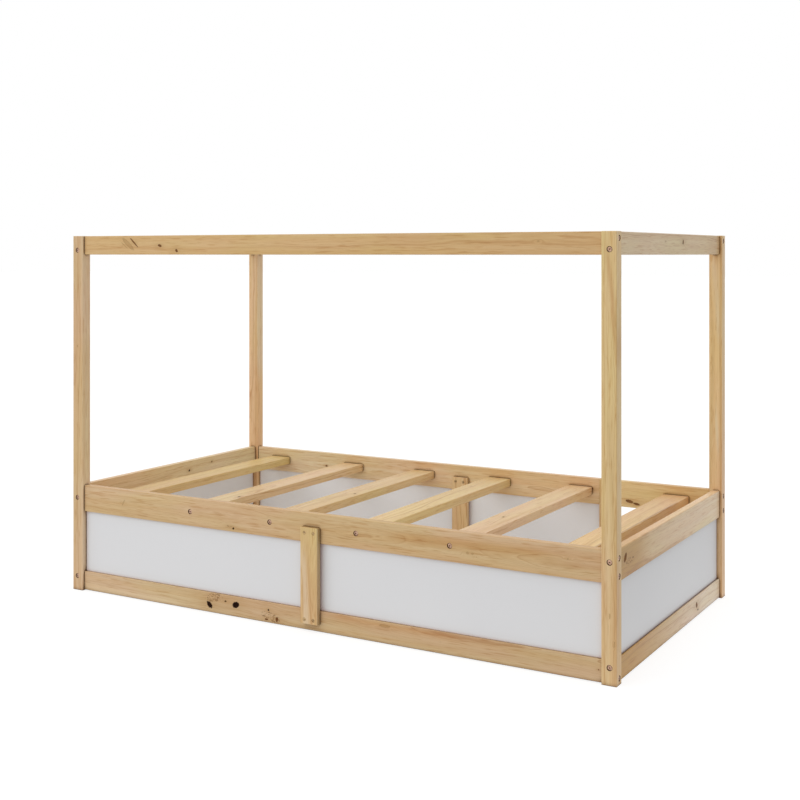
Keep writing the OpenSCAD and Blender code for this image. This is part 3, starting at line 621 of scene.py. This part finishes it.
# Painted light: the back panels are made lighter to stand for more light on their shaded inner side
PAINTED_BACK_PANEL_LIGHT = 6
SPECK_TONE, SPECK_STRENGTH = tint(206, 204, 200), 0.10
BOUNCE_TONE = tint(252, 228, 220)
SLOT_SHADE_TONE, SLOT_SHADE_STRENGTH = tint(120, 82, 58), 0.85
PANEL_ROUGHNESS, PEEL_ROUGHNESS = 0.42, 0.10
PANEL_SPECULAR = 0.35

# Plated steel: its bright and its dull tone, the painted shade in the sockets and round sunk heads, and
# the roughness
BOLT_TONES = tint(206, 170, 146), tint(134, 102, 82)
SCREW_TONES = tint(222, 190, 142), tint(158, 124, 84)
SOCKET_SHADE_TONE, SOCKET_SHADE_STRENGTH = tint(70, 50, 40), 0.85
ZINC_ROUGHNESS, SPANGLE_ROUGHNESS, SCRATCH_ROUGHNESS = 0.20, 0.16, 0.10

# Relief of the panels' coating and of the plating in metres, and how strong it is
FINE_RELIEF, FINE_BUMP = 0.00002, 0.5

# Beech: its light and dark tone, its flecks, and the roughness
BEECH_TONES = tint(214, 176, 140), tint(198, 156, 120)
BEECH_FLECK, BEECH_FLECK_STRENGTH = tint(150, 104, 72), 0.5
BEECH_ROUGHNESS, CLOUD_ROUGHNESS = 0.6, 0.1


def white_panel(node, seed):
    """Satin white coating on thin fibreboard, with a faint orange peel."""
    graph = material_graph("white_" + node)
    place = graph.coordinates("Object")
    # Painted light that makes the back panels lighter
    painted_light = PAINTED_BACK_PANEL_LIGHT if node.startswith("panel_back") else 0
    low_tone, high_tone = (tint(*(level + painted_light for level in tone)) for tone in PANEL_TONES)
    colour = graph.mix(graph.noise(place, "panel_cloud", seed), low_tone, high_tone)
    specks = graph.marks(graph.noise(place, "panel_speck", seed), "panel_speck")
    colour = graph.mix(graph.times(specks, SPECK_STRENGTH), colour, SPECK_TONE)
    # Painted warm light bounced from the wood next to the panel, and painted shade beside the grooves
    colour = graph.stain(colour, BOUNCE_TONE, graph.gap("panel_bounce"))
    colour = graph.stain(colour, SLOT_SHADE_TONE, graph.times(graph.gap("panel_slot_shade"), SLOT_SHADE_STRENGTH))
    peel = graph.noise(place, "panel_peel", seed)
    return graph.surface(
        Base_Color=colour, Roughness=graph.add(graph.times(peel, PEEL_ROUGHNESS), PANEL_ROUGHNESS),
        Specular_IOR_Level=PANEL_SPECULAR, Normal=graph.bump(peel, FINE_RELIEF, FINE_BUMP),
    )


def plated(name, tones, seed, socket_shade):
    """Zinc plating with a spangle, fine turning marks and painted shade in its sockets."""
    graph = material_graph(name)
    place = graph.coordinates("Object")
    spangle = graph.noise(place, "zinc_spangle", seed)
    scratch = graph.noise(place, "zinc_scratch", seed)
    colour = graph.mix(graph.marks(spangle, "zinc_spangle"), *tones)
    # Painted shade in the sockets and round the sunk heads
    colour = graph.stain(colour, SOCKET_SHADE_TONE, graph.times(graph.gap(socket_shade), SOCKET_SHADE_STRENGTH))
    roughness = graph.add(graph.times(spangle, SPANGLE_ROUGHNESS),
                          graph.times(scratch, SCRATCH_ROUGHNESS), ZINC_ROUGHNESS)
    return graph.surface(
        Base_Color=colour, Metallic=1.0, Roughness=roughness,
        Normal=graph.bump(scratch, FINE_RELIEF, FINE_BUMP),
    )


def beech(seed):
    """Unfinished turned beech with its short dark flecks."""
    graph = material_graph("beech")
    place = graph.coordinates("Object")
    flecks = graph.marks(graph.noise(place, "beech_fleck", seed), "beech_fleck")
    cloud = graph.noise(place, "beech_cloud", seed)
    colour = graph.mix(cloud, *BEECH_TONES)
    colour = graph.mix(graph.times(flecks, BEECH_FLECK_STRENGTH), colour, BEECH_FLECK)
    roughness = graph.add(graph.times(cloud, CLOUD_ROUGHNESS), BEECH_ROUGHNESS)
    return graph.surface(Base_Color=colour, Roughness=roughness)


def paint(node, material):
    """Gives a CAD node one material on all its slots."""
    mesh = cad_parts[node].data
    mesh.materials.clear()
    mesh.materials.append(material)


def paint_all():
    for seed, node in enumerate(POSTS + RAILS + BATTENS + SLATS, start=BOARD_SEED):
        paint(node, pine(node, seed))
    for seed, node in enumerate(PANELS, start=PANEL_SEED):
        paint(node, white_panel(node, seed))
    bolt_zinc = plated("bolt_zinc", BOLT_TONES, BOLT_SEED, "bolt_socket_shade")
    for node in STEEL:
        paint(node, bolt_zinc)
    paint("batten_screws", plated("screw_zinc", SCREW_TONES, SCREW_SEED, "screw_socket_shade"))
    paint("wood_dowels", beech(BEECH_SEED))


# Studio: camera, floor, background and one soft key light
CAMERA_PLACE = (2.2193, -3.8023, 1.1851)
# The camera looks level, turned from straight to the back towards the left end, in degrees
CAMERA_TILT, CAMERA_TURN = 90.0, 30.079
CAMERA_LENS = 56.589
CAMERA_SENSOR = 36.0
CAMERA_REACH = 200.0
# The picture's frame lies below the camera's level line
CAMERA_SHIFT = -0.18269
FLOOR_REACH = 60.0
# What the floor shows: an even glow, and the sky's light on it with the object's shadow
FLOOR_GLOW = 0.80
FLOOR_SHADE = 0.30
# What the floor gives as light: an even fill, and the share of the sky's light that it returns
FLOOR_FILL = 0.50
FLOOR_ALBEDO = 0.20
SKY_LIGHT = 0.91
# The studio is darker towards the front right, on its floor and in its sky
DARK_SIDE = Vector((0.95, -0.22, 0.15)).normalized()
DARK_FLOOR = 0.50
DARK_SKY = 0.50
# Where the floor's darker part begins and is full in metres, and how narrow the sky's is
DARK_FROM, DARK_TO = 1.0, 1.8
DARK_FOCUS = 3.0
KEY_PLACE = (-3.2, -4.6, 4.6)
KEY_SIZE = 4.0
KEY_POWER = 55.0


def add_object(name, data):
    made = bpy.data.objects.new(name, data)
    bpy.context.scene.collection.objects.link(made)
    return made


def make_camera():
    lens = bpy.data.cameras.new("camera")
    lens.sensor_width = CAMERA_SENSOR
    lens.lens = CAMERA_LENS
    lens.shift_y = CAMERA_SHIFT
    lens.clip_end = CAMERA_REACH
    camera = add_object("camera", lens)
    camera.location = CAMERA_PLACE
    camera.rotation_euler = (math.radians(CAMERA_TILT), 0.0, math.radians(CAMERA_TURN))
    bpy.context.scene.camera = camera


def background_ray(graph):
    """1 for rays that show the background: camera, glossy and transmission rays."""
    path = graph.node("ShaderNodeLightPath", {}).outputs
    seen = graph.math("MAXIMUM", path["Is Camera Ray"], path["Is Glossy Ray"])
    return graph.math("MAXIMUM", seen, path["Is Transmission Ray"])


def towards_dark(graph, vector):
    """How far a point or direction lies towards the studio's darker side."""
    inputs = {0: vector, 1: DARK_SIDE}
    return graph.node("ShaderNodeVectorMath", inputs, operation="DOT_PRODUCT").outputs["Value"]


def floor_material():
    """White to the camera, with the object's shadow, and a pale floor to the light."""
    graph = material_graph("floor")
    dark = graph.step(towards_dark(graph, graph.coordinates("Object")), DARK_FROM, DARK_TO)
    level = graph.inverse(graph.times(dark, DARK_FLOOR))
    returned = graph.times(level, FLOOR_ALBEDO)
    matt = graph.node("ShaderNodeBsdfDiffuse", {"Color": graph.point(returned, returned, returned)})
    fill = graph.node("ShaderNodeEmission", {"Color": WHITE, "Strength": graph.times(level, FLOOR_FILL)})
    light = graph.node("ShaderNodeAddShader", {0: matt.outputs[0], 1: fill.outputs[0]})
    shade = (FLOOR_SHADE, FLOOR_SHADE, FLOOR_SHADE, 1.0)
    shadow = graph.node("ShaderNodeBsdfDiffuse", {"Color": shade})
    glow = graph.node("ShaderNodeEmission", {"Color": WHITE, "Strength": FLOOR_GLOW})
    shown = graph.node("ShaderNodeAddShader", {0: shadow.outputs[0], 1: glow.outputs[0]})
    inputs = {0: background_ray(graph), 1: light.outputs[0], 2: shown.outputs[0]}
    mixed = graph.node("ShaderNodeMixShader", inputs)
    graph.node("ShaderNodeOutputMaterial", {0: mixed.outputs[0]})
    return graph.owner


def make_floor():
    mesh = bpy.data.meshes.new("floor")
    reach = FLOOR_REACH
    corners = [(-reach, -reach, 0.0), (reach, -reach, 0.0), (reach, reach, 0.0), (-reach, reach, 0.0)]
    mesh.from_pydata(corners, [], [(0, 1, 2, 3)])
    mesh.materials.append(floor_material())
    floor = add_object("floor", mesh)


def make_world():
    """A white sky: full white where it shows, softer as light and darker to the front right."""
    world = bpy.data.worlds.new("studio")
    graph = Graph(world)
    side = graph.math("MAXIMUM", towards_dark(graph, graph.coordinates("Generated")), 0.0)
    dark = graph.math("POWER", side, DARK_FOCUS)
    light = graph.times(graph.inverse(graph.times(dark, DARK_SKY)), SKY_LIGHT)
    shown = background_ray(graph)
    strength = graph.math("MAXIMUM", shown, graph.times(light, graph.inverse(shown)))
    sky = graph.node("ShaderNodeBackground", {"Color": WHITE, "Strength": strength})
    graph.node("ShaderNodeOutputWorld", {0: sky.outputs[0]})
    bpy.context.scene.world = world


def make_key():
    lamp = bpy.data.lights.new("key", "AREA")
    lamp.size = KEY_SIZE
    lamp.energy = KEY_POWER
    key = add_object("key", lamp)
    key.location = KEY_PLACE
    aim = (cad_low + cad_high) / 2 - Vector(KEY_PLACE)
    key.rotation_euler = aim.to_track_quat("-Z", "Y").to_euler()


paint_all()
make_camera()
make_floor()
make_world()
make_key()
bpy.context.scene.view_settings.view_transform = "Standard"
